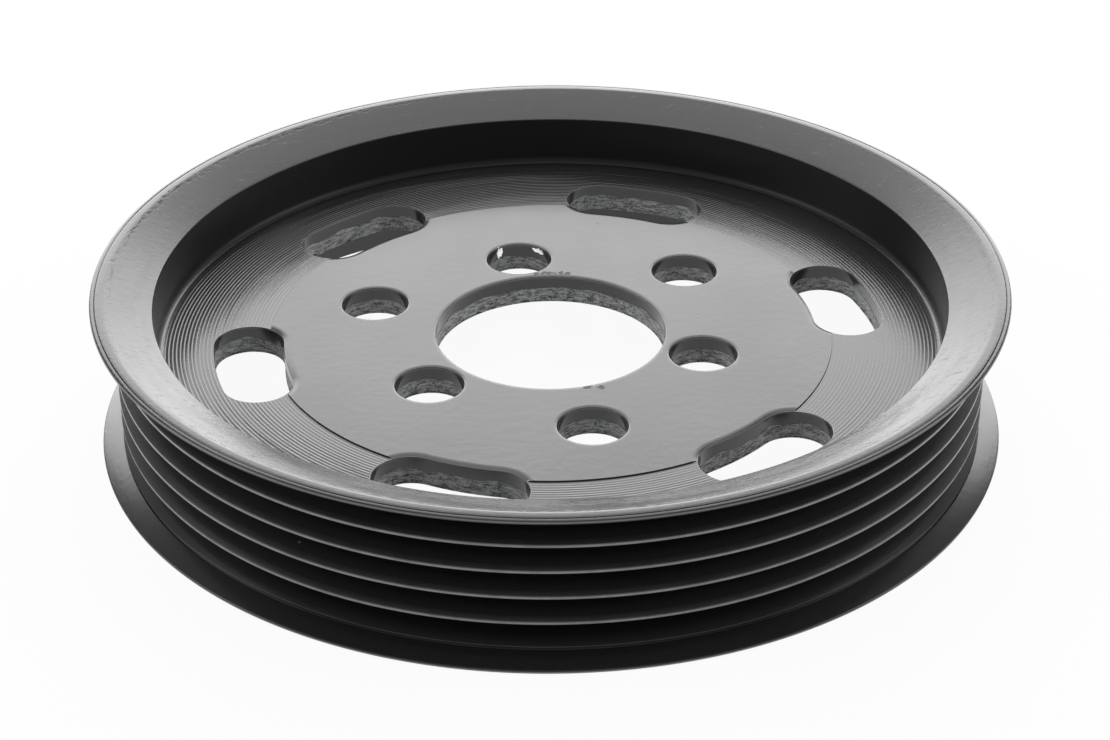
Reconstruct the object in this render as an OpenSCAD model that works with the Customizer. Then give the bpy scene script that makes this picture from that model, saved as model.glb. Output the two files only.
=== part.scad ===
// Power steering pump pulley for a ribbed belt: one sheet steel pressing, spun and rolled to shape.
// The axis is Z. The origin is the centre of the bore on the face that seats against the pump's hub, which is
// the web's rear face. The front lip, on the bolt heads' side, is on top.

/* [Belt face] */
// Diameter over the crests between the belt grooves
rib_d = 114.4; // [90:0.2:180]
// Number of belt grooves
groove_count = 5; // [3:1:8]
// Distance from one groove to the next
groove_pitch = 3.56; // [2.4:0.02:4.8]
// Angle between the two flanks of a groove
groove_angle = 40; // [36:1:44]
// Radius at the bottom of a groove
groove_root_r = 0.45; // [0.2:0.05:0.6]
// Width of the flat left on each crest
crest_w = 0.45; // [0.2:0.05:0.8]
// Metal left between the groove bottoms and the inner wall
wall_t = 1.75; // [1.2:0.05:4]
// How far the middle of the belt face lies in front of the face that seats on the hub
belt_offset = 2.5; // [-2:0.1:6]

/* [Lips] */
// How far each lip stands out past the crests
lip_h = 2.8; // [1.5:0.1:6]
// How much a lip leans outwards along the axis, from its foot to its edge
lip_lean = 0.95; // [0:0.05:2.5]
// Thickness of a lip at its edge
lip_t = 0.45; // [0.35:0.05:1.5]
// Rounding of a lip's outer edge
lip_edge_r = 0.3; // [0.1:0.05:0.35]
// Width of the flat band that runs round each lip at its edge
lip_land_w = 1.7; // [0.5:0.1:3]
// Width of the tool relief at the foot of each lip
relief_w = 0.35; // [0.1:0.05:0.8]
// Depth of the tool relief at the foot of each lip
relief_d = 0.2; // [0.05:0.05:0.6]
// How far the front rim face dishes in from its lip to the inner wall
front_dish = 2.3; // [0.5:0.1:4]
// How far the rear rim face dishes in from its lip to the inner wall
rear_dish = 1.4; // [0.5:0.1:3]

/* [Web] */
// Thickness of the web
web_t = 4; // [2:0.1:6]
// Inside radius where the web turns into the rim
bend_r = 1; // [0.5:0.1:2]
// Depth of the band that is turned flat round the web
facing_depth = 0.15; // [0.05:0.05:0.5]
// How far the turned band reaches in past the slots' outer edges
facing_inset = 7.3; // [2:0.1:9]

/* [Hub fixing] */
// Diameter of the bore that centres on the pump's hub
bore_d = 30.6; // [16:0.1:40]
// Diameter of each bolt hole
bolt_hole_d = 9; // [5:0.5:12]
// Number of bolt holes in each of the two rings
bolt_count = 3; // [3:1:4]
// Metal left between the bore and the inner ring of bolt holes
bore_land = 1.2; // [0.8:0.1:6]
// Distance from the inner ring of bolt holes out to the outer ring
ring_step = 4; // [1:0.5:8]

/* [Slots] */
// Number of slots round the web
slot_count = 6; // [3:1:6]
// Width of a slot across the web
slot_w = 9.2; // [4:0.1:12]
// Angle along a slot between the centres of its round ends
slot_sweep = 15.4; // [6:0.2:24]
// Metal left between the slots and the rim's inner wall
slot_rim_gap = 7.45; // [3:0.05:12]

/* [Hidden] */
$fn = 120;
// Groove form, from a sharp V cut short at the crest and rounded at the root
flank_a = groove_angle / 2;
groove_mouth_w = groove_pitch - crest_w;
vee_depth = groove_mouth_w / 2 / tan(flank_a);
root_centre_depth = vee_depth - groove_root_r / sin(flank_a);
groove_depth = root_centre_depth + groove_root_r;
root_tangent_depth = root_centre_depth + groove_root_r * sin(flank_a);
root_tangent_w = 2 * groove_root_r * cos(flank_a);
// Radii from the belt face inwards
rib_r = rib_d / 2;
lip_r = rib_r + lip_h;
wall_r = rib_r - groove_depth - wall_t;
slot_outer_r = wall_r - slot_rim_gap;
slot_mid_r = slot_outer_r - slot_w / 2;
facing_r = slot_outer_r - facing_inset;
bore_r = bore_d / 2;
inner_ring_r = bore_r + bore_land + bolt_hole_d / 2;
outer_ring_r = inner_ring_r + ring_step;
// Heights from the middle of the belt face to either side
belt_half = groove_count * groove_pitch / 2;
lip_foot_h = belt_half + relief_w;
lip_under_h = lip_foot_h + lip_lean;
lip_top_h = lip_under_h + lip_t;
// Slots lie on the X axis first, and the first bolt hole of the inner ring on the Y axis
bolt_start_a = 90;
// Extra length that carries a cut past the faces it opens
cut_past = 1;

// One belt groove in section, cut in from the crests, with its middle on the X axis
module groove_section() {
    translate([rib_r - root_centre_depth, 0])
        circle(r = groove_root_r);
    polygon([
        [rib_r - root_tangent_depth, -root_tangent_w / 2],
        [rib_r, -groove_mouth_w / 2],
        [rib_r + cut_past, -groove_mouth_w / 2],
        [rib_r + cut_past, groove_mouth_w / 2],
        [rib_r, groove_mouth_w / 2],
        [rib_r - root_tangent_depth, root_tangent_w / 2]
    ]);
}

// What the rounded edge of a lip leaves outside it
module lip_edge_waste() {
    translate([lip_r - lip_edge_r, lip_top_h - lip_edge_r])
        difference() {
            square(lip_edge_r + cut_past);
            circle(r = lip_edge_r);
        }
}

// Half of the rim in section, from the middle of the belt face up to one lip
module half_rim_section(dish) {
    difference() {
        polygon([
            [wall_r, 0],
            [rib_r, 0],
            [rib_r, lip_foot_h],
            [lip_r, lip_under_h],
            [lip_r, lip_top_h],
            [lip_r - lip_land_w, lip_top_h],
            [wall_r, lip_top_h - dish]
        ]);
        lip_edge_waste();
        translate([rib_r - relief_d, belt_half])
            square([relief_d + cut_past, relief_w]);
    }
}

// The whole rim in section, with its belt grooves
module rim_section() {
    translate([0, belt_offset])
        difference() {
            union() {
                half_rim_section(front_dish);
                mirror([0, 1])
                    half_rim_section(rear_dish);
            }
            for (i = [0 : groove_count - 1])
                translate([0, (i - (groove_count - 1) / 2) * groove_pitch])
                    groove_section();
        }
}

// Metal that rounds the inside corner between web and wall, with the corner at the origin
module bend_section() {
    difference() {
        translate([-bend_r, -bend_r])
            square([bend_r + wall_t / 2, 2 * bend_r]);
        translate([-bend_r, bend_r])
            circle(r = bend_r);
    }
}

// The web in section, with the turned band and both bends
module web_section() {
    polygon([
        [bore_r, 0],
        [wall_r + wall_t / 2, 0],
        [wall_r + wall_t / 2, web_t - facing_depth],
        [facing_r, web_t - facing_depth],
        [facing_r, web_t],
        [bore_r, web_t]
    ]);
    translate([wall_r, web_t - facing_depth])
        bend_section();
    translate([wall_r, 0])
        mirror([0, 1])
            bend_section();
}

// One slot, curved about the axis, with round ends and its middle on the X axis
module slot_cut() {
    rotate([0, 0, -slot_sweep / 2])
        rotate_extrude(angle = slot_sweep)
            translate([slot_mid_r - slot_w / 2, -cut_past])
                square([slot_w, web_t + 2 * cut_past]);
    for (side = [-1, 1])
        rotate([0, 0, side * slot_sweep / 2])
            translate([slot_mid_r, 0, -cut_past])
                cylinder(d = slot_w, h = web_t + 2 * cut_past);
}

// One ring of bolt holes
module bolt_ring(ring_r, start_a) {
    for (i = [0 : bolt_count - 1])
        rotate([0, 0, start_a + i * 360 / bolt_count])
            translate([ring_r, 0, -cut_past])
                cylinder(d = bolt_hole_d, h = web_t + 2 * cut_past);
}

// The finished pulley, satin black all over
module pulley() {
    color("#1c1c1e")
        difference() {
            rotate_extrude()
                union() {
                    rim_section();
                    web_section();
                }
            bolt_ring(inner_ring_r, bolt_start_a);
            bolt_ring(outer_ring_r, bolt_start_a + 180 / bolt_count);
            for (i = [0 : slot_count - 1])
                rotate([0, 0, i * 360 / slot_count])
                    slot_cut();
        }
}

pulley();
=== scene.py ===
import math

import bmesh
import bpy
from mathutils import Matrix, Vector, noise


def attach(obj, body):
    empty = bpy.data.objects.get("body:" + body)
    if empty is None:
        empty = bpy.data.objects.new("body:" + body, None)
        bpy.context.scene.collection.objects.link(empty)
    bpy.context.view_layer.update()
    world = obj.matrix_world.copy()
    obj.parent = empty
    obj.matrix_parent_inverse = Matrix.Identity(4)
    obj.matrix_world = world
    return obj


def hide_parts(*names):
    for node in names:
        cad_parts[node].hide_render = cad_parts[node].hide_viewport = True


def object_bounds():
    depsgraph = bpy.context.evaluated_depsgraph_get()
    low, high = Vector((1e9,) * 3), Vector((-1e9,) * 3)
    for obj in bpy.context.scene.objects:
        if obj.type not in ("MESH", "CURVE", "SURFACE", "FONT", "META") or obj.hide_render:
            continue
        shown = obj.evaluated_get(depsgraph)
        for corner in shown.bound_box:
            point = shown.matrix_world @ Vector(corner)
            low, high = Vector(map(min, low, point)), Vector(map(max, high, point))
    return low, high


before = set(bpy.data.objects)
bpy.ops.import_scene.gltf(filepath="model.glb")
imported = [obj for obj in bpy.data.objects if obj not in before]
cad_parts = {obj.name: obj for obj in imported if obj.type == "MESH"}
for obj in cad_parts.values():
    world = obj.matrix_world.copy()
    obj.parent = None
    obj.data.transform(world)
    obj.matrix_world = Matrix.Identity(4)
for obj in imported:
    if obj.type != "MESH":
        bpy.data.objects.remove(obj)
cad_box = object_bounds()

# ---- Rolled sheet ------------------------------------------------------------------------------------------
# The pulley starts as a disc of 4 mm hot rolled steel sheet and ends in a bath of satin black coat, baked on.
# Where the sheet keeps its rolled skin, on the web, the coat lies even and smooth, with a faint orange peel,
# a few specks of dust and some knocks beside the bore. Sizes are in mm until the pulley is whole.

MM = 0.001
WEB_FRONT, WEB_BACK = 4.0, 0.0
COAT_HEX = "#1c1c1e"
COAT_IOR = 1.6                           # epoxy
LATHE_R = 50                             # radius at which a lathe point's X and Y keep their real size
KNOCKS = (                               # six in a row at the bore's far edge, two at its near edge
    (1.5, 16.0), (2.3, 15.92), (3.1, 15.75), (3.9, 15.55), (4.7, 15.35), (5.5, 15.05),
    (1.4, -15.85), (3.1, -16.25),
)
finishes = []                            # the pulley's materials, in the order of its faces' material numbers


def linear(hex_code):
    """An sRGB hex colour as linear RGBA."""
    srgb = [int(hex_code[i:i + 2], 16) / 255 for i in (1, 3, 5)]
    return [c / 12.92 if c <= 0.04045 else ((c + 0.055) / 1.055) ** 2.4 for c in srgb] + [1]


def connect(tree, node, inputs):
    """Sets a node's inputs to values, or links sockets to them."""
    for name, value in inputs.items():
        if isinstance(value, bpy.types.NodeSocket):
            tree.links.new(value, node.inputs[name])
        else:
            node.inputs[name].default_value = value


def add(tree, kind, inputs={}, out=0, **settings):
    """Adds a node with its settings and links, and gives back one of its outputs."""
    node = tree.nodes.new("ShaderNode" + kind)
    for name, value in settings.items():
        setattr(node, name, value)
    connect(tree, node, inputs)
    return node.outputs[out] if node.outputs else node


def coated(name, hex_code, roughness):
    """Starts a finish of the pulley. Its patterns read the point in mm, the distance from the axis, and the
    point as a lathe sees it: round the axis in X and Y, and over the work from the axis out and up in Z.
    The heights that they give the bump are in mm too."""
    finish = bpy.data.materials.new(name)
    finishes.append(finish)
    finish.use_nodes = True
    tree = finish.node_tree
    tree.nodes.clear()
    base = {"Base Color": linear(hex_code), "Roughness": roughness, "IOR": COAT_IOR}
    skin = add(tree, "BsdfPrincipled", base).node
    add(tree, "OutputMaterial", {"Surface": skin.outputs[0]})
    place = add(tree, "TexCoord", out="Object")
    mm = add(tree, "VectorMath", {0: place, "Scale": 1 / MM}, operation="SCALE")
    flat = add(tree, "VectorMath", {0: mm, 1: (1, 1, 0)}, operation="MULTIPLY")
    radius = add(tree, "VectorMath", {0: flat}, out="Value", operation="LENGTH")
    toward = add(tree, "VectorMath", {0: flat}, operation="NORMALIZE")
    height = add(tree, "SeparateXYZ", {0: mm}, out="Z")
    over = add(tree, "CombineXYZ", {"Z": add(tree, "Math", {0: radius, 1: height}, operation="ADD")})
    lathe = add(tree, "VectorMath", {0: toward, 1: [LATHE_R] * 3, 2: over}, operation="MULTIPLY_ADD")
    return len(finishes) - 1, tree, skin, mm, radius, lathe


SHEET, tree, skin, mm, radius, lathe = coated("satin_coat_on_rolled_sheet", COAT_HEX, 0.24)
peel = add(tree, "TexNoise", {"Vector": mm, "Scale": 0.75, "Detail": 1})             # waves of 1.3 mm
grain = add(tree, "TexNoise", {"Vector": mm, "Scale": 6, "Detail": 2})               # satin grit of 0.17 mm
cloud = add(tree, "TexNoise", {"Vector": mm, "Scale": 0.06, "Detail": 2})            # duller patches of 17 mm
dust = add(tree, "TexVoronoi", {"Vector": mm, "Scale": 0.2}, out="Distance").node    # one cell to 5 mm
speck = add(tree, "MapRange", {0: dust.outputs["Distance"], 1: 0.045, 2: 0.02})      # 0.2 to 0.4 mm wide
some = add(tree, "Math", {0: dust.outputs["Color"], 1: 0.62}, operation="GREATER_THAN")
speck = add(tree, "Math", {0: speck, 1: some}, operation="MULTIPLY")
away = 100.0
for x, y in KNOCKS:
    from_knock = add(tree, "VectorMath", {0: mm, 1: (x, y, WEB_FRONT)}, out="Value", operation="DISTANCE")
    away = add(tree, "Math", {0: away, 1: from_knock}, operation="MINIMUM")
ragged = add(tree, "TexNoise", {"Vector": mm, "Scale": 1.9, "Detail": 2})            # frays them by 0.5 mm
away = add(tree, "Math", {0: ragged, 1: 1.6, 2: away}, operation="MULTIPLY_ADD")
knock = add(tree, "MapRange", {0: away, 1: 1.4, 2: 1.1})
height = add(tree, "Math", {0: peel, 1: 0.012}, operation="MULTIPLY")
height = add(tree, "Math", {0: grain, 1: 0.0012, 2: height}, operation="MULTIPLY_ADD")
height = add(tree, "Math", {0: knock, 1: -0.03, 2: height}, operation="MULTIPLY_ADD")
height = add(tree, "Math", {0: speck, 1: 0.02, 2: height}, operation="MULTIPLY_ADD")
rough = add(tree, "MapRange", {0: cloud, 1: 0.3, 2: 0.7, 3: 0.22, 4: 0.27})
rough = add(tree, "Math", {0: knock, 1: 0.3, 2: rough}, operation="MULTIPLY_ADD")
connect(tree, skin, {"Roughness": rough, "Normal": add(tree, "Bump", {"Height": height, "Distance": MM})})

# ---- Punched openings --------------------------------------------------------------------------------------
# A press punches the bore, two rings of bolt holes and six curved slots through the web from the front. Each
# wall has a small corner, a band that the punch burnishes, and a grainy band where the steel tore away, with
# a burr at its foot. The black coat covers all of it, but for two chips in one bolt hole.

BORE_R = 15.3
BOLT_R = 4.5
BOLT_HOLES = [(21.0, 90 + 120 * i) for i in range(3)] + [(25.0, 30 + 120 * i) for i in range(3)]
SLOT_W, SLOT_R, SLOT_SWEEP = 9.2, 39.99, 15.4
SLOTS = [60 * i for i in range(6)]
STEP_IN, STEP_OUT = 37.30, 37.35         # the shallow step at which the turned band begins
TURNED_FRONT = 3.85                      # height of that band
CLOSE = 0.001                            # radii and heights this close are the same
MARGIN = 0.01                            # a test for some rows of vertices reaches this far past them

# The sheet sags a little beside an opening, as the punch drags it down, and turns over a small corner into
# the wall. A close row under the corner keeps the corner's shading off the wall
SAG_ROWS = (1.1, 1, 0.8, 0.6, 0.4, 0.2, 0)                               # shares of the sag's width
CORNER_R, UNDER_CORNER = 0.12, 0.06
CORNER = ((0.62, 0.08), (0.29, 0.29), (0.08, 0.62), (0.0, 1.0))          # shares of its radius: out, down
BURNISH_MIDDLE, BURNISH_END = 3.1, 2.15
# Torn band and burr below the burnished wall: how far outside the wall, and how high
TORN = (
    (-0.05, 2.14), (-0.03, 2.05), (0.04, 1.9), (0.07, 1.6), (0.08, 1.3), (0.09, 1.0), (0.1, 0.7), (0.1, 0.4),
)
BURR = ((0.11, 0.16), (0.02, 0.14), (0.0, 0.04), (0.05, 0.0))
CHIPS = (                                # centres and half sizes
    ((-1.97, 25.05, 3.1), (0.5, 0.5, 0.85)),
    ((3.45, 23.9, 3.3), (1.1, 0.9, 0.42)),
)

# The burnished band is smooth, with faint lines down it from the punch, and the corner above it is painted
# a lighter grey as a painted highlight
BURNISHED_HEX, CORNER_HIGHLIGHT_HEX, CHIP_HEX = "#242426", "#707072", "#f6f6f4"
BURNISHED, tree, skin, mm, radius, lathe = coated("coat_on_burnished_steel", BURNISHED_HEX, 0.17)
drawn = add(tree, "VectorMath", {0: mm, 1: (3, 3, 0.25)}, operation="MULTIPLY")
lines = add(tree, "TexNoise", {"Vector": drawn, "Scale": 1, "Detail": 2})            # 0.3 mm apart, 4 mm long
ragged = add(tree, "TexNoise", {"Vector": mm, "Scale": 2.4, "Detail": 2})            # frays them by 0.4 mm
nearest = 100.0
for centre, half in CHIPS:
    off = add(tree, "VectorMath", {0: mm, 1: centre}, operation="SUBTRACT")
    off = add(tree, "VectorMath", {0: off, 1: half}, operation="DIVIDE")
    off = add(tree, "VectorMath", {0: off}, out="Value", operation="LENGTH")
    nearest = add(tree, "Math", {0: nearest, 1: off}, operation="MINIMUM")
nearest = add(tree, "Math", {0: ragged, 1: 1.8, 2: nearest}, operation="MULTIPLY_ADD")
bare = add(tree, "MapRange", {0: nearest, 1: 1.9, 2: 1.8})                           # bright, in the chips
up = add(tree, "SeparateXYZ", {0: mm}, out="Z")
# painted highlight: a lighter grey over the corner at the top of the wall
painted_highlight_or_dust = add(tree, "MapRange", {0: up, 1: 3.55, 2: 3.75, 4: 0.8})                      # over the corner
colour = add(tree, "Mix", {0: painted_highlight_or_dust, 6: linear(BURNISHED_HEX), 7: linear(CORNER_HIGHLIGHT_HEX)}, out=2, data_type="RGBA")
colour = add(tree, "Mix", {0: bare, 6: colour, 7: linear(CHIP_HEX)}, out=2, data_type="RGBA")
height = add(tree, "Math", {0: lines, 1: 0.012}, operation="MULTIPLY")
height = add(tree, "Math", {0: bare, 1: -0.05, 2: height}, operation="MULTIPLY_ADD")
bump = add(tree, "Bump", {"Height": height, "Distance": MM})
connect(tree, skin, {"Base Color": colour, "Metallic": bare, "Normal": bump})

# The torn band is coarse and dull, with tears that run along the sheet. Its raised grain and tears are
# painted pale as a painted highlight, and its hollows and cracks dark as painted shade
HOLLOW_SHADE_HEX, TORN_HIGHLIGHT_HEX, CRACK_SHADE_HEX = "#38393a", "#c6c8ca", "#0a0a0a"
BROKEN, tree, skin, mm, radius, lathe = coated("coat_on_torn_steel", HOLLOW_SHADE_HEX, 0.4)
grain = add(tree, "TexNoise", {"Vector": mm, "Scale": 4.6, "Detail": 3, "Roughness": 0.7})     # of 0.2 mm
along = add(tree, "VectorMath", {0: mm, 1: (0.9, 0.9, 3.4)}, operation="MULTIPLY")
tears = add(tree, "TexNoise", {"Vector": along, "Scale": 1, "Detail": 2})            # 1.1 by 0.3 mm
torn_highlight_share = add(tree, "Math", {0: grain, 1: tears}, operation="ADD")
torn_highlight_share = add(tree, "MapRange", {0: torn_highlight_share, 1: 0.76, 2: 1.16})
along = add(tree, "VectorMath", {0: mm, 1: (0.35, 0.35, 1.5)}, operation="MULTIPLY")
crack = add(tree, "TexNoise", {"Vector": along, "Scale": 1, "Detail": 3})            # 3 by 0.7 mm
crack = add(tree, "Math", {0: crack, 1: 0.5}, operation="SUBTRACT")
crack = add(tree, "Math", {0: crack}, operation="ABSOLUTE")
crack = add(tree, "MapRange", {0: crack, 1: 0.016, 2: 0.004})
height = add(tree, "Math", {0: grain, 1: 0.10}, operation="MULTIPLY")
height = add(tree, "Math", {0: tears, 1: 0.16, 2: height}, operation="MULTIPLY_ADD")
height = add(tree, "Math", {0: crack, 1: -0.10, 2: height}, operation="MULTIPLY_ADD")
# painted highlight on the raised grain and tears, painted shade in the hollows and the near-black cracks
colour = add(tree, "Mix", {0: torn_highlight_share, 6: linear(HOLLOW_SHADE_HEX), 7: linear(TORN_HIGHLIGHT_HEX)}, out=2, data_type="RGBA")
colour = add(tree, "Mix", {0: crack, 6: colour, 7: linear(CRACK_SHADE_HEX)}, out=2, data_type="RGBA")
connect(tree, skin, {"Base Color": colour, "Normal": add(tree, "Bump", {"Height": height, "Distance": MM})})


def polar(radius, degrees, z):
    return Matrix.Rotation(math.radians(degrees), 3, "Z") @ Vector((radius, 0, z))


def carry(bm, start, centre, degrees, steps):
    """Carries a vertex round a centre, leaves the arc as edges and gives back the arc's last vertex."""
    turn = math.radians(degrees)
    arc = bmesh.ops.spin(bm, geom=[start], cent=centre, axis=(0, 0, 1), angle=turn, steps=steps)
    return arc["geom_last"][0]


def round_outline(radius, segments):
    """How a round hole's outline is drawn, grown by some mm at a height."""
    def draw(bm, grow, z):
        at = Matrix.Translation((0, 0, z))
        bmesh.ops.create_circle(bm, segments=segments, radius=radius + grow, matrix=at)
    return draw


def slot_outline(bm, grow, z):
    """Draws a curved slot's outline about +X, with vertices just where the turned band's step crosses it."""
    reach = SLOT_W / 2 + grow
    first, second = (
        math.degrees(math.acos((SLOT_R**2 + reach**2 - r**2) / (2 * SLOT_R * reach)))
        for r in (STEP_IN, STEP_OUT)
    )
    cap = ((first, 14), (second - first, 1), (180 - second, 26))         # degrees and steps of each stretch
    start = bm.verts.new(polar(SLOT_R - reach, -SLOT_SWEEP / 2, z))
    last = carry(bm, start, (0, 0, z), SLOT_SWEEP, 18)
    for degrees, steps in cap:
        last = carry(bm, last, polar(SLOT_R, SLOT_SWEEP / 2, z), -degrees, steps)
    last = carry(bm, last, (0, 0, z), -SLOT_SWEEP, 20)
    for degrees, steps in reversed(cap):
        last = carry(bm, last, polar(SLOT_R, -SLOT_SWEEP / 2, z), -degrees, steps)
    bmesh.ops.weld_verts(bm, targetmap={last: start})


def punched_wall(draw, sag_w, sag_d):
    """The wall of one opening, bridged from outline to outline, from the front face to the back face."""
    edge = WEB_FRONT - sag_d
    rows = [(CORNER_R + sag_w * w, WEB_FRONT - sag_d * max(0, 1 - w)**2, SHEET) for w in SAG_ROWS]
    rows += [(CORNER_R * w, edge - CORNER_R * d, BURNISHED) for w, d in CORNER]
    rows += [(0, z, BURNISHED) for z in (edge - CORNER_R - UNDER_CORNER, BURNISH_MIDDLE, BURNISH_END)]
    rows += [(grow, z, BROKEN) for grow, z in TORN + BURR]
    wall, above = bmesh.new(), []
    for grow, z, kind in rows:
        before = set(wall.edges)
        draw(wall, grow, z)
        loop = [e for e in wall.edges if e not in before]
        if above:
            for face in bmesh.ops.bridge_loops(wall, edges=above + loop)["faces"]:
                face.material_index = kind
        above = loop
    for v in wall.verts:                 # the lathe tool takes the band's depth off the sag too
        if v.co.xy.length > (STEP_IN + STEP_OUT) / 2:
            v.co.z = min(v.co.z, TURNED_FRONT)
    made = bpy.data.meshes.new("punched_wall")
    wall.to_mesh(made)
    wall.free()
    return made


pulley = bmesh.new()


def place(made, ring_r, degrees, waver):
    """Adds an opening's wall at its place on a ring, with its own wandering edge of the sheared band."""
    count = len(pulley.verts)
    pulley.from_mesh(made)
    pulley.verts.ensure_lookup_table()
    new = pulley.verts[count:]
    turn = Matrix.Rotation(math.radians(degrees), 4, "Z") @ Matrix.Translation((ring_r, 0, 0))
    bmesh.ops.transform(pulley, matrix=turn, verts=new)
    for v in new:
        if TORN[1][1] - MARGIN < v.co.z < BURNISH_END + MARGIN:
            v.co.z += waver * noise.noise(v.co * 0.35)                   # swells of 3 mm


bore_wall = punched_wall(round_outline(BORE_R, segments=240), sag_w=0.45, sag_d=0.05)
place(bore_wall, 0, 0, waver=0.35)
bolt_wall = punched_wall(round_outline(BOLT_R, segments=72), sag_w=0.38, sag_d=0.045)
for ring_r, degrees in BOLT_HOLES:
    place(bolt_wall, ring_r, degrees, waver=0.12)
slot_wall = punched_wall(slot_outline, sag_w=0.8, sag_d=0.14)
for degrees in SLOTS:
    place(slot_wall, 0, degrees, waver=0.5)

# ---- Rim and belt face -------------------------------------------------------------------------------------
# Rollers split the edge of the disc, spread it into an inner wall with a lip at each side, and roll it with
# five grooves for a ribbed belt. Its section is drawn as one wire of corners, each with its rounding, from
# the web's front face round to its back face, and spun once round the axis.

RIM_STEPS = 288
WEB_EDGE_R = 51.0
WALL_R, RIB_R, LIP_R = 52.04, 57.2, 60.0
BEND_R, BEND_FOOT = 1.0, 0.1             # bend between web and wall, and how far up it the wall's film begins
BELT_MIDDLE, GROOVE_PITCH, GROOVES = 2.5, 3.56, 5
GROOVE_MOUTH, GROOVE_V = 3.11, 4.272     # width at the crests, and depth before the root is rounded
GROOVE_ROOT_R, CREST_EDGE_R = 0.45, 0.06
RELIEF_W, RELIEF_D = 0.35, 0.2           # the tool relief at the foot of each lip
BELT_HALF = GROOVES * GROOVE_PITCH / 2
BELT_SIDE, BELT_LEAN = 9.6, 0.25         # half the belt side's height, which grows towards the lips' edges

# The rollers leave fine lines round the lips and the wall. At the crease the metal has chattered into a row
# of small dents, most of them on the left, and on the near side the dished face is scuffed dull. The lips'
# outer edges are painted a lighter grey as a painted highlight. The orange peel is drawn deeper than it is,
# so that it shows
CREASE_R, CHATTER_SWAY, CHATTER_TOWARD = 57.75, 1.4, (-0.682, 0.731, 0)
SCUFF_R, SCUFF_TOWARD = 54.2, (0.14, -0.99, 0)
LIP_EDGE_HIGHLIGHT_HEX = "#8c8c8e"
SPUN, tree, skin, mm, radius, lathe = coated("coat_on_spun_steel", COAT_HEX, 0.22)
peel = add(tree, "TexNoise", {"Vector": mm, "Scale": 1.0, "Detail": 5, "Roughness": 0.66})     # waves of 1 mm
wound = add(tree, "VectorMath", {0: lathe, 1: (0.06, 0.06, 5)}, operation="MULTIPLY")
lines = add(tree, "TexNoise", {"Vector": wound, "Scale": 1, "Detail": 2})            # 0.2 mm apart
wander = add(tree, "TexNoise", {"Vector": mm, "Scale": 0.16, "Detail": 1})           # swings of 6 mm
wander = add(tree, "Math", {0: wander, 1: CHATTER_SWAY, 2: radius}, operation="MULTIPLY_ADD")
wound = add(tree, "VectorMath", {0: lathe, 1: (0.8, 0.8, 2.2)}, operation="MULTIPLY")
blots = add(tree, "TexNoise", {"Vector": wound, "Scale": 1, "Detail": 3})            # 1.2 by 0.5 mm
off_row = add(tree, "Math", {0: wander, 1: CREASE_R + CHATTER_SWAY / 2}, operation="SUBTRACT")
off_row = add(tree, "Math", {0: off_row}, operation="ABSOLUTE")
row = add(tree, "MapRange", {0: off_row, 1: 0.45, 2: 0.12})
side = add(tree, "VectorMath", {0: lathe, 1: CHATTER_TOWARD}, out="Value", operation="DOT_PRODUCT")
side = add(tree, "MapRange", {0: side, 1: 36, 2: 52, 3: 0.15, 4: 1})
blots = add(tree, "MapRange", {0: blots, 1: 0.49, 2: 0.58})
dent = add(tree, "Math", {0: row, 1: blots}, operation="MULTIPLY")
dent = add(tree, "Math", {0: dent, 1: side}, operation="MULTIPLY")
near = add(tree, "VectorMath", {0: lathe, 1: SCUFF_TOWARD}, out="Value", operation="DOT_PRODUCT")
near = add(tree, "MapRange", {0: near, 1: 34, 2: 46})
off_scuff = add(tree, "Math", {0: radius, 1: SCUFF_R}, operation="SUBTRACT")
off_scuff = add(tree, "Math", {0: off_scuff}, operation="ABSOLUTE")
on_scuff = add(tree, "MapRange", {0: off_scuff, 1: 1.7, 2: 0.6})
wound = add(tree, "VectorMath", {0: lathe, 1: (0.5, 0.5, 1.6)}, operation="MULTIPLY")
mottle = add(tree, "TexNoise", {"Vector": wound, "Scale": 1, "Detail": 3})           # 2 by 0.6 mm
mottle = add(tree, "MapRange", {0: mottle, 1: 0.38, 2: 0.6})
scuff = add(tree, "Math", {0: on_scuff, 1: near}, operation="MULTIPLY")
scuff = add(tree, "Math", {0: scuff, 1: mottle}, operation="MULTIPLY")
slant = add(tree, "Mapping", {"Vector": mm, "Rotation": (0, 0, 0.35), "Scale": (0.35, 4.5, 1)})
scratch = add(tree, "TexNoise", {"Vector": slant, "Scale": 1, "Detail": 1})          # 3 by 0.2 mm
scratch = add(tree, "MapRange", {0: scratch, 1: 0.72, 2: 0.78})
height = add(tree, "Math", {0: peel, 1: 0.022}, operation="MULTIPLY")
height = add(tree, "Math", {0: lines, 1: 0.004, 2: height}, operation="MULTIPLY_ADD")
height = add(tree, "Math", {0: dent, 1: -0.05, 2: height}, operation="MULTIPLY_ADD")
height = add(tree, "Math", {0: scratch, 1: -0.02, 2: height}, operation="MULTIPLY_ADD")
height = add(tree, "Math", {0: scuff, 1: -0.012, 2: height}, operation="MULTIPLY_ADD")
wound = add(tree, "VectorMath", {0: lathe, 1: (0.12, 0.12, 0.6)}, operation="MULTIPLY")
sheen = add(tree, "TexNoise", {"Vector": wound, "Scale": 1, "Detail": 4})            # 8 by 1.7 mm
sheen = add(tree, "MapRange", {0: sheen, 1: 0.3, 2: 0.7, 3: 0.19, 4: 0.27})
rough = add(tree, "Math", {0: scuff, 1: 0.12, 2: sheen}, operation="MULTIPLY_ADD")
rough = add(tree, "Math", {0: dent, 1: 0.42, 2: rough}, operation="MULTIPLY_ADD")
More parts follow.
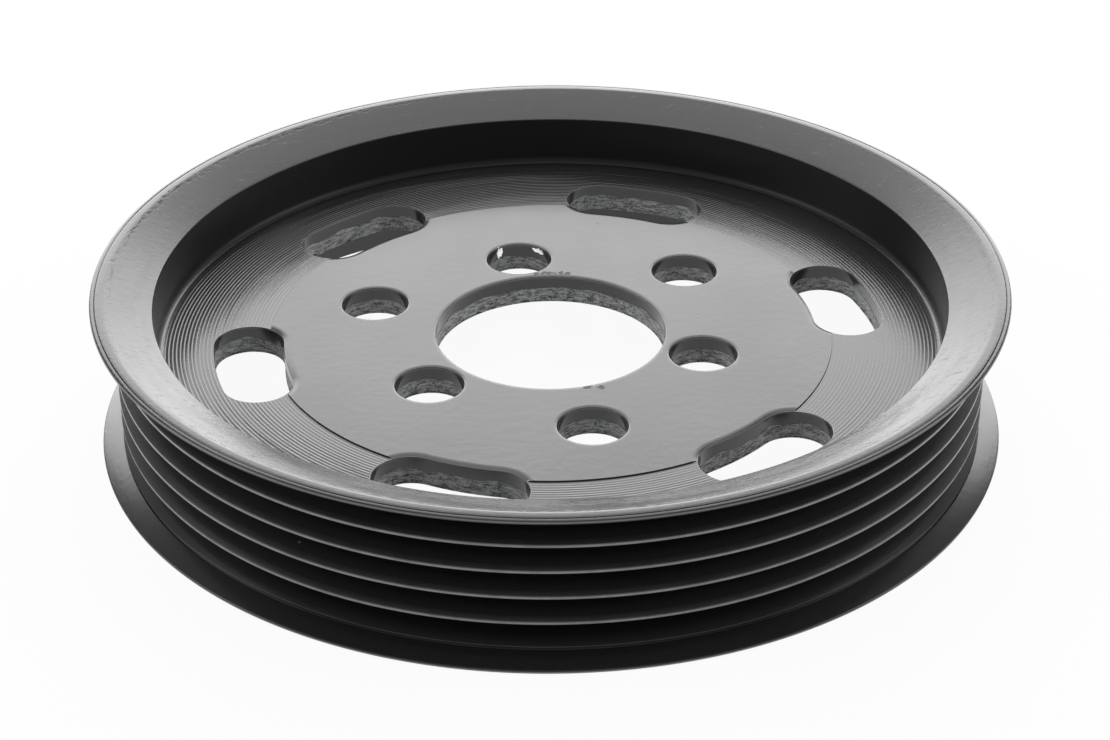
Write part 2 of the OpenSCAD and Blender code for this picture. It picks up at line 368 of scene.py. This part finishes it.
# painted highlight: the lips' outermost edges are painted a lighter grey
lip_edge_highlight = add(tree, "MapRange", {0: radius, 1: LIP_R - 0.14, 2: LIP_R - 0.03})
colour = add(tree, "Mix", {0: lip_edge_highlight, 6: linear(COAT_HEX), 7: linear(LIP_EDGE_HIGHLIGHT_HEX)}, out=2, data_type="RGBA")
bump = add(tree, "Bump", {"Height": height, "Distance": MM})
connect(tree, skin, {"Base Color": colour, "Roughness": rough, "Normal": bump})

# Little of the coat reaches the inner wall, so it dries there as a dull film
WALLED, tree, skin, mm, radius, lathe = coated("dry_coat_on_spun_wall", "#222224", 0.38)
wound = add(tree, "VectorMath", {0: lathe, 1: (0.08, 0.08, 3)}, operation="MULTIPLY")
lines = add(tree, "TexNoise", {"Vector": wound, "Scale": 1, "Detail": 3})            # 0.3 mm apart
spray = add(tree, "TexNoise", {"Vector": mm, "Scale": 1.6, "Detail": 2})             # grit of 0.6 mm
height = add(tree, "Math", {0: lines, 1: 0.01}, operation="MULTIPLY")
height = add(tree, "Math", {0: spray, 1: 0.012, 2: height}, operation="MULTIPLY_ADD")
bump = add(tree, "Bump", {"Height": height, "Distance": MM})
connect(tree, skin, {"Specular IOR Level": 0.2, "Normal": bump})

# In the grooves the coat is smooth, with a few specks of dust. A grey line along each crest is a painted
# highlight, and the flanks beside the crests are painted a little grey as painted light
GROOVED_HEX, CREST_HIGHLIGHT_HEX = "#1d1d1f", "#8a8c8e"
HIGHLIGHT_BELOW = 0.04                        # how far the painted highlight line lies below the middle of its crest
HIGHLIGHT_HALF, HIGHLIGHT_FADED = 0.105, 0.145     # from the painted highlight line's middle to where it starts and ends to fade
GROOVED, tree, skin, mm, radius, lathe = coated("coat_on_rolled_grooves", GROOVED_HEX, 0.22)
wound = add(tree, "VectorMath", {0: lathe, 1: (0.3, 0.3, 4)}, operation="MULTIPLY")
lines = add(tree, "TexNoise", {"Vector": wound, "Scale": 1, "Detail": 3})            # 0.25 mm apart
peel = add(tree, "TexNoise", {"Vector": mm, "Scale": 0.9, "Detail": 1})              # waves of 1.1 mm
up = add(tree, "SeparateXYZ", {0: mm}, out="Z")
up = add(tree, "Math", {0: up, 1: BELT_MIDDLE}, operation="SUBTRACT")
inside = add(tree, "Math", {0: up}, operation="ABSOLUTE")
inside = add(tree, "Math", {0: inside, 1: BELT_HALF - GROOVE_PITCH / 2}, operation="LESS_THAN")
pitches = add(tree, "Math", {0: up, 1: 1 / GROOVE_PITCH}, operation="MULTIPLY")
off_crest = add(tree, "Math", {0: pitches}, operation="FRACT")
off_crest = add(tree, "Math", {0: off_crest, 1: 0.5}, operation="SUBTRACT")
off_crest = add(tree, "Math", {0: off_crest, 1: HIGHLIGHT_BELOW / GROOVE_PITCH}, operation="ADD")
off_crest = add(tree, "Math", {0: off_crest}, operation="ABSOLUTE")
# painted highlight: a grey line along each crest
crest = add(tree, "MapRange", {0: off_crest, 1: HIGHLIGHT_FADED / GROOVE_PITCH, 2: HIGHLIGHT_HALF / GROOVE_PITCH})
crest = add(tree, "Math", {0: crest, 1: inside}, operation="MULTIPLY")
outer = add(tree, "Math", {0: radius, 1: RIB_R - 0.05}, operation="GREATER_THAN")
crest = add(tree, "Math", {0: crest, 1: outer}, operation="MULTIPLY")
# painted light: the flanks a little grey towards the crests, darker deeper in the grooves
flank_painted_light = add(tree, "MapRange", {0: radius, 1: RIB_R - 0.8, 2: RIB_R, 4: 0.16})
flank_painted_light = add(tree, "Math", {0: flank_painted_light, 1: inside}, operation="MULTIPLY")
highlight_patch = add(tree, "TexNoise", {"Vector": mm, "Scale": 0.35, "Detail": 3})            # patches of 3 mm over which the painted highlight varies
highlight_patch = add(tree, "MapRange", {0: highlight_patch, 1: 0.25, 2: 0.6, 3: 0.6, 4: 1})
painted_highlight_or_dust = add(tree, "Math", {0: crest, 1: flank_painted_light}, operation="MAXIMUM")
painted_highlight_or_dust = add(tree, "Math", {0: painted_highlight_or_dust, 1: highlight_patch}, operation="MULTIPLY")
dust = add(tree, "TexVoronoi", {"Vector": mm, "Scale": 0.16}, out="Distance").node   # one cell to 6 mm
speck = add(tree, "MapRange", {0: dust.outputs["Distance"], 1: 0.035, 2: 0.015, 4: 0.5})       # 0.2 to 0.4 mm
some = add(tree, "Math", {0: dust.outputs["Color"], 1: 0.6}, operation="GREATER_THAN")
speck = add(tree, "Math", {0: speck, 1: some}, operation="MULTIPLY")
painted_highlight_or_dust = add(tree, "Math", {0: painted_highlight_or_dust, 1: speck}, operation="MAXIMUM")
colour = add(tree, "Mix", {0: painted_highlight_or_dust, 6: linear(GROOVED_HEX), 7: linear(CREST_HIGHLIGHT_HEX)}, out=2, data_type="RGBA")
rough = add(tree, "MapRange", {0: painted_highlight_or_dust, 3: 0.22, 4: 0.28})
height = add(tree, "Math", {0: peel, 1: 0.010}, operation="MULTIPLY")
height = add(tree, "Math", {0: lines, 1: 0.008, 2: height}, operation="MULTIPLY_ADD")
bump = add(tree, "Bump", {"Height": height, "Distance": MM})
connect(tree, skin, {"Base Color": colour, "Roughness": rough, "Normal": bump})

section = [                              # radius, height, rounding
    (WEB_EDGE_R, TURNED_FRONT, 0),
    (WALL_R, TURNED_FRONT, BEND_R),
    (WALL_R, 10.85, 0.2),                # the wall's front edge
    (58.2, 13.13, 1.3),                  # crease of the dished face
    (58.9, 13.12, 1.5),
    (59.24, 13.09, 0.04),
    (59.34, 12.97, 0),                   # seam of the folded edge
    (59.44, 13.07, 0.04),
    (LIP_R, 13.02, 0.33),                # bead outside the seam
    (59.97, 12.62, 0.06),
    (RIB_R, BELT_MIDDLE + BELT_HALF + RELIEF_W, 0.12),
    (RIB_R - RELIEF_D, BELT_MIDDLE + BELT_HALF + RELIEF_W, 0.05),
    (RIB_R - RELIEF_D, BELT_MIDDLE + BELT_HALF, 0.05),
    (RIB_R, BELT_MIDDLE + BELT_HALF, 0.06),
]
for i in range(GROOVES):
    z = BELT_MIDDLE + ((GROOVES - 1) / 2 - i) * GROOVE_PITCH
    section += [
        (RIB_R, z + GROOVE_MOUTH / 2, CREST_EDGE_R),
        (RIB_R - GROOVE_V, z, GROOVE_ROOT_R),
        (RIB_R, z - GROOVE_MOUTH / 2, CREST_EDGE_R),
    ]
section += [
    (RIB_R, BELT_MIDDLE - BELT_HALF, 0.06),
    (RIB_R - RELIEF_D, BELT_MIDDLE - BELT_HALF, 0.05),
    (RIB_R - RELIEF_D, BELT_MIDDLE - BELT_HALF - RELIEF_W, 0.05),
    (RIB_R, BELT_MIDDLE - BELT_HALF - RELIEF_W, 0.12),
    (59.95, -7.62, 0.15),
    (LIP_R, -8.13, 0.3),                 # bead of the rear lip
    (59.48, -8.12, 0.04),
    (59.34, -8.0, 0),                    # its seam
    (59.2, -8.12, 0.04),
    (58.9, -8.15, 1.5),
    (58.2, -8.15, 1.3),                  # crease of the rear face
    (WALL_R, -6.75, 0.2),                # the wall's rear edge
    (WALL_R, WEB_BACK, BEND_R),
    (WEB_EDGE_R, WEB_BACK, 0),
]
rim = bmesh.new()
corners = [rim.verts.new((r, 0, z)) for r, z, _ in section]
ahead = [(b.co - a.co).normalized() for a, b in zip(corners, corners[1:])]
for pair in zip(corners, corners[1:]):
    rim.edges.new(pair)
for corner, (_, _, radius), into, out in zip(corners[1:], section[1:], ahead, ahead[1:]):
    if radius:
        bmesh.ops.bevel(
            rim, geom=[corner], offset=radius * math.tan(into.angle(out) / 2), offset_type="OFFSET",
            affect="VERTICES", segments=6 if radius > 0.1 else 3, profile=0.5, material=-1,
        )
bmesh.ops.spin(
    rim, geom=rim.verts[:] + rim.edges[:], cent=(0, 0, 0), axis=(0, 0, 1), angle=math.tau,
    steps=RIM_STEPS, use_merge=True,
)
for face in rim.faces:
    at = face.calc_center_median()
    belt_side = abs(at.z - BELT_MIDDLE) < BELT_SIDE + BELT_LEAN * (at.xy.length - RIB_R)
    if belt_side and at.xy.length > WALL_R + 1:                          # clear of the wall
        face.material_index = GROOVED
    elif at.z > TURNED_FRONT + BEND_FOOT and at.xy.length < WALL_R + MARGIN:
        face.material_index = WALLED
    else:
        face.material_index = SPUN
made = bpy.data.meshes.new("spun_rim")
rim.to_mesh(made)
rim.free()
pulley.from_mesh(made)


def open_edges(where):
    """The open edges whose ends both lie where a test of radius and height says."""
    found = (e for e in pulley.edges if e.is_boundary)
    return [e for e in found if all(where(v.co.xy.length, v.co.z) for v in e.verts)]


# ---- Web faces ---------------------------------------------------------------------------------------------
# The front of the sheet has two levels: its rolled skin round the bore, and a band that a lathe has faced
# 0.15 mm deep out to the rim, as clearance for the rollers. The step between them runs from slot to slot,
# and the back is flat.

INSIDE_SLOTS, OUTSIDE_SLOTS = 30.5, 49   # radii that clear the slots on either side
HALFWAY = 30                             # degrees from a slot to the middle of the web between two slots
FINE_WELD, STEP_WELD = 0.0001, 0.0005

slot_edges = open_edges(lambda r, z: z > BURNISH_END and INSIDE_SLOTS < r < OUTSIDE_SLOTS)
step = bmesh.new()
for radius in (STEP_IN, STEP_OUT):
    on = {v for e in slot_edges for v in e.verts if abs(v.co.xy.length - radius) < CLOSE}
    on = sorted((v.co for v in on), key=lambda at: (math.degrees(math.atan2(at.y, at.x)) + HALFWAY) % 360)
    for here, there in zip(on[1::2], on[2::2] + on[:1]):                 # from each slot to the next
        gap = math.degrees(here.xy.to_3d().angle(there.xy.to_3d()))
        carry(step, step.verts.new(here), (0, 0, here.z), gap, 40)
made = bpy.data.meshes.new("step_of_turned_band")
step.to_mesh(made)
step.free()
pulley.from_mesh(made)
bmesh.ops.remove_doubles(pulley, verts=pulley.verts, dist=STEP_WELD)


def step_edges(radius, middle=None):
    """The step's edges at a radius, all of them or those of one stretch between two slots."""
    found = (e for e in pulley.edges if e.is_wire)
    found = [e for e in found if all(abs(v.co.xy.length - radius) < CLOSE for v in e.verts)]
    if middle is None:
        return found
    toward = polar(1, middle, 0)
    return [e for e in found if (e.verts[0].co + e.verts[1].co).angle(toward) < math.radians(HALFWAY)]


slot_edges = open_edges(lambda r, z: z > BURNISH_END and INSIDE_SLOTS < r < OUTSIDE_SLOTS)
sheet = [e for e in slot_edges if max(v.co.xy.length for v in e.verts) < STEP_IN + CLOSE]
sheet += step_edges(STEP_IN) + open_edges(lambda r, z: z > BURNISH_END and r < INSIDE_SLOTS)
band = [e for e in slot_edges if min(v.co.xy.length for v in e.verts) > STEP_OUT - CLOSE]
band += step_edges(STEP_OUT) + open_edges(lambda r, z: z > BURNISH_END and r > OUTSIDE_SLOTS)
for middle in SLOTS:
    stretch = step_edges(STEP_IN, middle + HALFWAY) + step_edges(STEP_OUT, middle + HALFWAY)
    bmesh.ops.bridge_loops(pulley, edges=stretch)
for level in (sheet, band):
    bmesh.ops.triangle_fill(pulley, edges=level, use_beauty=True, normal=(0, 0, 1))
back = open_edges(lambda r, z: z < BURNISH_END)
bmesh.ops.triangle_fill(pulley, edges=back, use_beauty=True, normal=(0, 0, -1))

# The lathe tool leaves a thread of ridges, each steep on its inner side, deep towards the rim and fine
# further in. It bit deepest on the left, where the sheet stands a little proud. The ridges are drawn coarser
# than the tool leaves them, so that they show
TURN_PITCH, CREST_AT = 0.5, 0.35         # from ridge to ridge, and the share of it at which a ridge peaks
BITE_TOWARD = (-0.94, 0.34, 0)
TURNED, tree, skin, mm, radius, lathe = coated("coat_on_turned_steel", "#2a2a2c", 0.26)
turn = add(tree, "Math", {0: radius, 1: STEP_OUT}, operation="SUBTRACT")
turn = add(tree, "Math", {0: turn, 1: 1 / TURN_PITCH}, operation="MULTIPLY")
turn = add(tree, "Math", {0: turn}, operation="FRACT")
rise = add(tree, "MapRange", {0: turn, 1: 0, 2: CREST_AT})
fall = add(tree, "MapRange", {0: turn, 1: 1, 2: CREST_AT})
ridge = add(tree, "Math", {0: rise, 1: fall}, operation="MINIMUM")
deep = add(tree, "MapRange", {0: radius, 1: 38, 2: 44, 3: 0.020, 4: 0.046})
wound = add(tree, "VectorMath", {0: lathe, 1: (0.05, 0.05, 1.1)}, operation="MULTIPLY")
uneven = add(tree, "TexNoise", {"Vector": wound, "Scale": 1, "Detail": 2})           # 20 by 0.9 mm
uneven = add(tree, "MapRange", {0: uneven, 1: 0.3, 2: 0.7, 3: 0.6, 4: 1.3})
deep = add(tree, "Math", {0: deep, 1: uneven}, operation="MULTIPLY")
bite = add(tree, "VectorMath", {0: lathe, 1: BITE_TOWARD}, out="Value", operation="DOT_PRODUCT")
bite = add(tree, "MapRange", {0: bite, 1: -35, 2: 20, 3: 0.45, 4: 1.1})
deep = add(tree, "Math", {0: deep, 1: bite}, operation="MULTIPLY")
height = add(tree, "Math", {0: ridge, 1: deep}, operation="MULTIPLY")
wound = add(tree, "VectorMath", {0: lathe, 1: (0.05, 0.05, 6)}, operation="MULTIPLY")
lines = add(tree, "TexNoise", {"Vector": wound, "Scale": 1, "Detail": 1})            # 0.17 mm apart
height = add(tree, "Math", {0: lines, 1: 0.006, 2: height}, operation="MULTIPLY_ADD")
connect(tree, skin, {"Normal": add(tree, "Bump", {"Height": height, "Distance": MM})})
for face in pulley.faces:
    outside = all(v.co.xy.length > STEP_IN - MARGIN for v in face.verts)
    on_front = all(v.co.z > TURNED_FRONT - CLOSE for v in face.verts)
    if face.material_index == SHEET and outside and on_front:
        face.material_index = TURNED

# ---- Whole pulley ------------------------------------------------------------------------------------------
# Web, openings and rim are one piece of sheet steel, coated once they are shaped. So their faces are closed
# into one shell here, with one finish to each kind of surface, and scaled to metres.

TEAR = 0.1                               # how far the torn steel stands in and out
SHARP = math.radians(28)                 # edges that turn by more are drawn sharp

bmesh.ops.remove_doubles(pulley, verts=pulley.verts, dist=FINE_WELD)
bmesh.ops.recalc_face_normals(pulley, faces=pulley.faces)
pulley.normal_update()
for v in pulley.verts:
    if v.co.xy.length < WEB_EDGE_R - 1 and TORN[-1][1] - MARGIN < v.co.z < TORN[2][1] + MARGIN:
        v.co += v.normal * TEAR * noise.noise(v.co * 2.3)                # lumps of 0.4 mm
bmesh.ops.scale(pulley, vec=(MM, MM, MM), verts=pulley.verts)
for face in pulley.faces:
    face.smooth = True
for edge in pulley.edges:
    radii = [v.co.xy.length / MM for v in edge.verts]
    on_step = any(all(abs(r - at) < CLOSE for r in radii) for at in (STEP_IN, STEP_OUT))
    edge.smooth = edge.calc_face_angle(0) < SHARP and not on_step
mesh = bpy.data.meshes.new("pulley_body")
pulley.to_mesh(mesh)
pulley.free()
for finish in finishes:
    mesh.materials.append(finish)
body = bpy.data.objects.new("pulley_body", mesh)
bpy.context.scene.collection.objects.link(body)
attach(body, "root")
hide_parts("pulley")

# ---- Camera ------------------------------------------------------------------------------------------------
# It was found by a fit over the outlines of the lips, the wall and the openings in the photograph. It stands
# low in front of the pulley, a little to the left, and its lens is long.

YAW, PITCH, ROLL = (math.radians(a) for a in (12.106, 30.096, -0.3084))
CAMERA_AT = Vector((-62.82, -295.56, 172.96)) * MM
ahead = Vector((math.sin(YAW) * math.cos(PITCH), math.cos(YAW) * math.cos(PITCH), -math.sin(PITCH)))
right = Vector((math.cos(YAW), -math.sin(YAW), 0))
up = right.cross(ahead)
right, up = math.cos(ROLL) * right + math.sin(ROLL) * up, math.cos(ROLL) * up - math.sin(ROLL) * right
lens = bpy.data.cameras.new("camera")
lens.sensor_fit, lens.sensor_width, lens.lens = "HORIZONTAL", 36, 84.31
lens.clip_start, lens.clip_end = 0.01, 20
camera = bpy.data.objects.new("camera", lens)
camera.matrix_world = Matrix.Translation(CAMERA_AT) @ Matrix((right, up, -ahead)).transposed().to_4x4()
bpy.context.scene.collection.objects.link(camera)
bpy.context.scene.camera = camera

# ---- Studio ------------------------------------------------------------------------------------------------
# The pulley lies on the edge of its rear lip, on a sheet of white paper, under five soft lamps. The broad one
# behind it gives the coat its long highlights, and the other four fill in the far side, the two sides and the
# top. Sizes are in metres from here on.

REST_Z = cad_box[0].z
PAPER_REACH, PAPER_GAP = 4, 0.0001       # half the sheet's width, and the gap under the pulley
PAPER_GREY, PAPER_GLOW = 0.95, 0.94      # its grey, and the share of plain white in what is seen of it
ROOM_LIGHT = 0.35


def softbox(name, azimuth, elevation, distance, width, height, watts):
    """A soft lamp, placed by its direction from the pulley. Azimuth 0 is behind it for the camera."""
    turn = YAW + math.radians(azimuth)
    rise = math.radians(elevation)
    away = Vector((math.sin(turn) * math.cos(rise), math.cos(turn) * math.cos(rise), math.sin(rise)))
    lamp = bpy.data.lights.new(name, "AREA")
    lamp.shape, lamp.size, lamp.size_y, lamp.energy = "RECTANGLE", width, height, watts
    stand = bpy.data.objects.new(name, lamp)
    stand.visible_camera = False
    aim = away.to_track_quat("Z", "Y").to_matrix().to_4x4()
    stand.matrix_world = Matrix.Translation(away * distance) @ aim
    bpy.context.scene.collection.objects.link(stand)


softbox("back softbox", 0, 18, 1.0, 1.33, 0.65, 10.2)
softbox("back high softbox", 0, 55.5, 1.0, 0.65, 0.71, 2.3)
softbox("left softbox", -90, 30, 1.0, 0.63, 0.65, 2.3)
softbox("right softbox", 90, 30, 1.0, 0.63, 0.65, 2.3)
softbox("top softbox", 0, 90, 1.0, 0.54, 0.54, 0.6)

floor_mesh = bpy.data.meshes.new("floor")
paper_sheet = bmesh.new()
at = Matrix.Translation((0, 0, REST_Z - PAPER_GAP))
bmesh.ops.create_grid(paper_sheet, x_segments=1, y_segments=1, size=PAPER_REACH, matrix=at)
paper_sheet.to_mesh(floor_mesh)
paper_sheet.free()
floor = bpy.data.objects.new("floor", floor_mesh)
bpy.context.scene.collection.objects.link(floor)

world = bpy.data.worlds.new("studio")
bpy.context.scene.world = world
world.use_nodes = True
tree = world.node_tree
tree.nodes.clear()
sky = add(tree, "Background", {"Color": (1, 1, 1, 1), "Strength": ROOM_LIGHT})
add(tree, "OutputWorld", {"Surface": sky})

# Paper that is lit from edge to edge: the camera and the coat see it almost plain white, with a trace of the
# pulley's shadow, and from below it isn't there
paper = bpy.data.materials.new("white_paper_sweep")
paper.use_nodes = True
tree = paper.node_tree
tree.nodes.clear()
ray = add(tree, "LightPath").node
seen = ray.outputs["Is Camera Ray"]
for kind in ("Is Glossy Ray", "Is Transmission Ray"):
    seen = add(tree, "Math", {0: seen, 1: ray.outputs[kind]}, operation="MAXIMUM")
share = add(tree, "Math", {0: seen, 1: PAPER_GLOW}, operation="MULTIPLY")
plain = add(tree, "BsdfDiffuse", {"Color": [PAPER_GREY] * 3 + [1]})
lit = add(tree, "Emission", {"Color": (1, 1, 1, 1), "Strength": 1.0})
both = add(tree, "MixShader", {0: share, 1: plain, 2: lit})
clear = add(tree, "BsdfTransparent")
side = add(tree, "MixShader", {0: add(tree, "NewGeometry", out="Backfacing"), 1: both, 2: clear})
add(tree, "OutputMaterial", {"Surface": side})
floor_mesh.materials.append(paper)

bpy.context.scene.view_settings.view_transform = "Standard"
